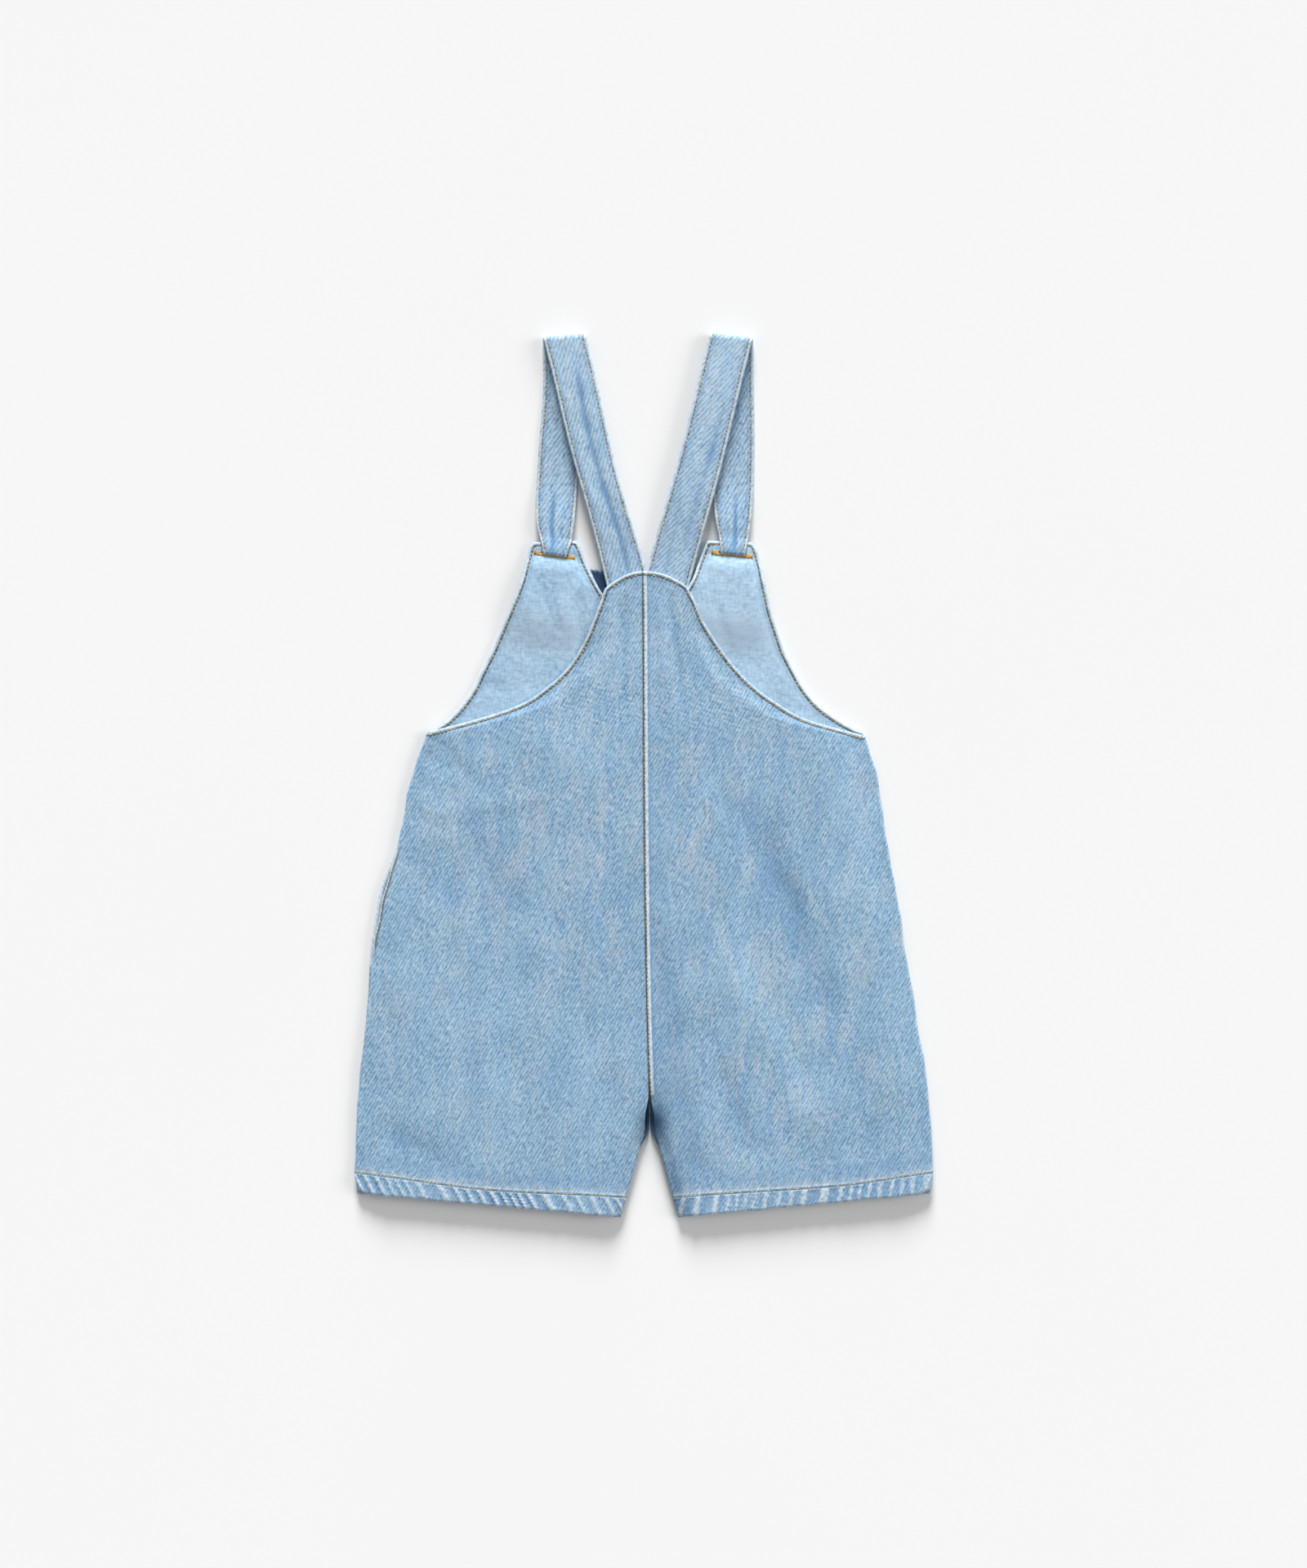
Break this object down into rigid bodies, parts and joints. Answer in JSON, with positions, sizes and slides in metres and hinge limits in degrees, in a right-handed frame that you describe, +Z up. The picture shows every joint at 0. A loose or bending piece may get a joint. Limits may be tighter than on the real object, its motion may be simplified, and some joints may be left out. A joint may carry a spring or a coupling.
{
  "type": "toddler's short denim dungarees, laid flat",
  "caption": "Short denim dungarees for a small child, laid flat: straps folded at the shoulder, faced bib tabs with strap slits, curved back, short hemmed legs and an open side pocket.",
  "frame": {"origin": "on the surface that the garment lies on, under the middle of its outline", "axes": "+Y from the leg hems to the shoulder folds of the straps, +X to the right as seen from above with the back uppermost, +Z up"},
  "size_m": [0.3402, 0.5204, 0.007],
  "materials": {
    "denim": "light stone-washed blue denim twill",
    "facing": "pale blue plain-weave cotton",
    "pocketing": "off-white cotton pocketing",
    "button": "semi-matt horn-coloured resin"
  },
  "bodies": {
    "root": {"back_left": "denim", "back_right": "denim", "front_left": "denim", "front_right": "denim", "bib_facing_left": "facing", "bib_facing_right": "facing", "strap_left": "denim", "strap_right": "denim", "button_left": "button", "button_right": "button", "pocket_bag_left": "pocketing"}
  },
  "joints": []
}
